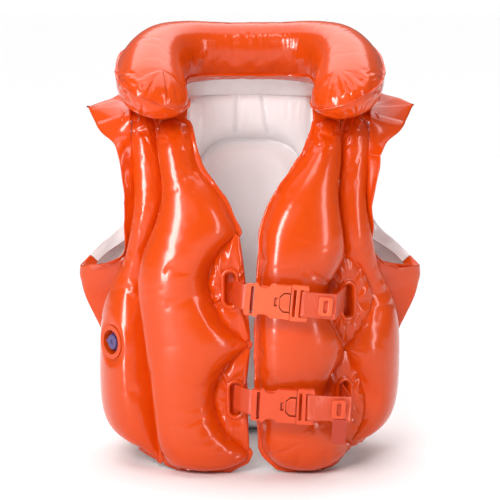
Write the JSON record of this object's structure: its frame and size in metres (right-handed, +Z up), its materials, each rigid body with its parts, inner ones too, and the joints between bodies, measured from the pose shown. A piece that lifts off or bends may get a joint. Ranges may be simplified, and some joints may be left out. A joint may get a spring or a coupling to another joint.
{
  "type": "inflatable swim vest",
  "caption": "Inflatable child's swim vest of welded vinyl air chambers with a pillow collar, open armholes, a front opening closed by clip buckles on straps, and push-in air valves.",
  "frame": {"origin": "centre of the outline on the surface that the vest stands on", "axes": "+Z up, the front with its buckles faces -Y, +X is the right as seen from the front"},
  "size_m": [0.3422, 0.2624, 0.4359],
  "materials": {
    "orange_vinyl": "glossy inflated film",
    "white_vinyl": "glossy film",
    "orange_webbing": "woven strap, satin",
    "salmon_plastic": "satin moulding",
    "orange_plastic": "satin moulding",
    "purple_vinyl": "soft translucent film"
  },
  "bodies": {
    "vest": {"left_inner_chamber": "orange_vinyl", "right_inner_chamber": "orange_vinyl", "left_outer_chamber": "orange_vinyl", "right_outer_chamber": "orange_vinyl", "left_front_liner": "white_vinyl", "right_front_liner": "white_vinyl", "back_chamber": "orange_vinyl", "neck_roll": "orange_vinyl", "back_liner": "white_vinyl", "left_armhole_flange": "orange_vinyl", "left_shoulder_web": "orange_vinyl", "left_side_web": "orange_vinyl", "left_side_seam": "orange_vinyl", "right_armhole_flange": "orange_vinyl", "right_shoulder_web": "orange_vinyl", "right_side_web": "orange_vinyl", "right_side_seam": "orange_vinyl", "neck_web": "orange_vinyl", "left_upper_slot_web": "orange_vinyl", "left_upper_slot_rim": "orange_vinyl", "left_lower_slot_web": "orange_vinyl", "left_lower_slot_rim": "orange_vinyl", "right_upper_slot_web": "orange_vinyl", "right_upper_slot_rim": "orange_vinyl", "right_lower_slot_web": "orange_vinyl", "right_lower_slot_rim": "orange_vinyl", "upper_buckle_socket": "salmon_plastic", "lower_buckle_socket": "orange_plastic", "upper_socket_strap": "orange_webbing", "lower_socket_strap": "orange_webbing", "valve_boot": "orange_vinyl"},
    "collar": {"collar_chamber": "orange_vinyl", "collar_strip": "orange_vinyl", "collar_valve_boot": "orange_vinyl"},
    "collar_valve_stem": {"collar_valve_stem": "purple_vinyl", "collar_valve_flap": "purple_vinyl"},
    "collar_valve_plug": {"collar_valve_plug": "purple_vinyl"},
    "valve_stem": {"valve_stem": "purple_vinyl", "valve_flap": "purple_vinyl"},
    "valve_plug": {"valve_plug": "purple_vinyl"},
    "upper_clip": {"upper_clip_frame": "salmon_plastic", "upper_strap": "orange_webbing", "upper_strap_keeper": "salmon_plastic"},
    "upper_release_button": {"upper_release_button": "salmon_plastic"},
    "upper_latch_arm_top": {"upper_latch_arm_top": "salmon_plastic"},
    "upper_latch_arm_bottom": {"upper_latch_arm_bottom": "salmon_plastic"},
    "lower_clip": {"lower_clip_frame": "orange_plastic", "lower_strap": "orange_webbing", "lower_strap_keeper": "orange_plastic", "lower_strap_tail": "orange_webbing"},
    "lower_release_button": {"lower_release_button": "orange_plastic"},
    "lower_latch_arm_top": {"lower_latch_arm_top": "orange_plastic"},
    "lower_latch_arm_bottom": {"lower_latch_arm_bottom": "orange_plastic"}
  },
  "joints": [
    {"name": "collar_tilt", "type": "hinge", "parent": "vest", "child": "collar", "pos_m": [0, 0.076, 0.374], "axis": [-1, 0, 0], "range_deg": [0, 50]},
    {"name": "valve_pull", "type": "slide", "parent": "vest", "child": "valve_stem", "axis": [-0.7669, -0.6417, 0], "range_m": [0, 0.01]},
    {"name": "plug_pull", "type": "slide", "parent": "valve_stem", "child": "valve_plug", "axis": [-0.7669, -0.6417, 0], "range_m": [0, 0.009]},
    {"name": "collar_valve_pull", "type": "slide", "parent": "collar", "child": "collar_valve_stem", "axis": [0, 1, 0], "range_m": [0, 0.01]},
    {"name": "collar_plug_pull", "type": "slide", "parent": "collar_valve_stem", "child": "collar_valve_plug", "axis": [0, 1, 0], "range_m": [0, 0.009]},
    {"name": "upper_clip_release", "type": "slide", "parent": "vest", "child": "upper_clip", "axis": [0.9962, 0, -0.0872], "range_m": [0, 0.031], "deforming": ["upper_strap"]},
    {"name": "upper_button_press", "type": "hinge", "parent": "upper_clip", "child": "upper_release_button", "pos_m": [0.03804, -0.126, 0.17624], "axis": [-0.0872, 0, -0.9962], "range_deg": [0, 4], "stiffness_Nm_per_rad": 0.05},
    {"name": "upper_latch_arm_top_squeeze", "type": "hinge", "parent": "upper_clip", "child": "upper_latch_arm_top", "pos_m": [0.03866, -0.1255, 0.18793], "axis": [0, -1, 0], "range_deg": [0, 4.5], "stiffness_Nm_per_rad": 0.05},
    {"name": "upper_latch_arm_bottom_squeeze", "type": "hinge", "parent": "upper_clip", "child": "upper_latch_arm_bottom", "pos_m": [0.03662, -0.1255, 0.16461], "axis": [0, -1, 0], "range_deg": [-4.5, 0], "stiffness_Nm_per_rad": 0.05},
    {"name": "lower_clip_release", "type": "slide", "parent": "vest", "child": "lower_clip", "axis": [0.999, 0, -0.0436], "range_m": [0, 0.031], "deforming": ["lower_strap"]},
    {"name": "lower_button_press", "type": "hinge", "parent": "lower_clip", "child": "lower_release_button", "pos_m": [0.04416, -0.126, 0.07612], "axis": [-0.0436, 0, -0.999], "range_deg": [0, 4], "stiffness_Nm_per_rad": 0.05},
    {"name": "lower_latch_arm_top_squeeze", "type": "hinge", "parent": "lower_clip", "child": "lower_latch_arm_top", "pos_m": [0.04427, -0.1255, 0.08782], "axis": [0, -1, 0], "range_deg": [0, 4.5], "stiffness_Nm_per_rad": 0.05},
    {"name": "lower_latch_arm_bottom_squeeze", "type": "hinge", "parent": "lower_clip", "child": "lower_latch_arm_bottom", "pos_m": [0.04325, -0.1255, 0.06444], "axis": [0, -1, 0], "range_deg": [-4.5, 0], "stiffness_Nm_per_rad": 0.05}
  ],
  "couplings": [
    {"joint": "upper_latch_arm_bottom_squeeze", "follows": "upper_latch_arm_top_squeeze", "ratio": -1},
    {"joint": "lower_latch_arm_bottom_squeeze", "follows": "lower_latch_arm_top_squeeze", "ratio": -1}
  ]
}
